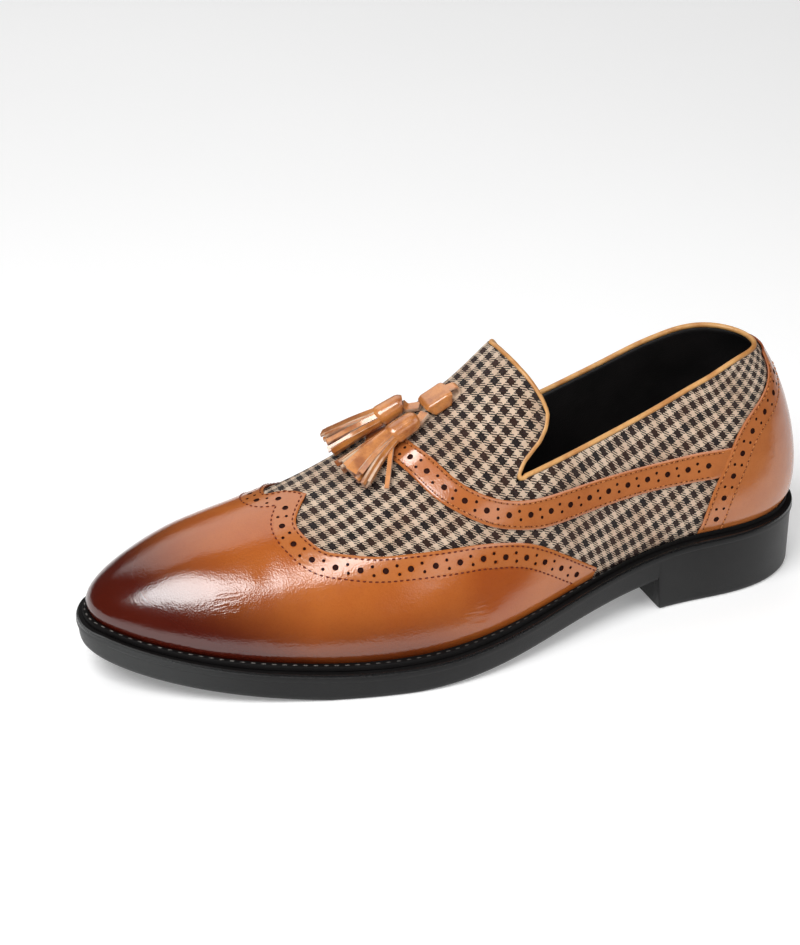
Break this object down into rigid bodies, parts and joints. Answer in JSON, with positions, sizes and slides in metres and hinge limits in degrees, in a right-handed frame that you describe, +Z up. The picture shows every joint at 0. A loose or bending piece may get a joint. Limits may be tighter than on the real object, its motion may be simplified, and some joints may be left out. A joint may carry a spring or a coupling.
{
  "type": "tassel loafer",
  "caption": "Left wingtip tassel loafer: checked cloth upper, tan leather wing cap, perforated side band and heel counter, piped collar, leather tassels, black moulded sole with heel.",
  "frame": {"origin": "centre of the sole's outline in plan, on the floor it stands on", "axes": "+Z up, -Y toward the toe, +X toward the outer side of the left foot"},
  "size_m": [0.1058, 0.2998, 0.1097],
  "materials": {
    "rubber": "satin moulded black rubber",
    "welt_rubber": "satin black, stitched on its top face",
    "lining": "matte black lining leather",
    "check_cloth": "woven shepherd's check of cream, black and dark brown",
    "tan_leather": "polished tan leather, darker at the toe",
    "piping_leather": "smooth yellow tan leather",
    "tassel_leather": "glossy light tan leather"
  },
  "bodies": {
    "root": {"outsole": "rubber", "welt": "welt_rubber", "insole": "lining", "upper": "check_cloth", "wing_cap": "tan_leather", "side_band": "tan_leather", "heel_counter": "tan_leather", "collar_piping": "piping_leather", "tassel_lateral": "tassel_leather", "tassel_medial": "tassel_leather", "tassel_keeper": "tassel_leather"}
  },
  "joints": []
}
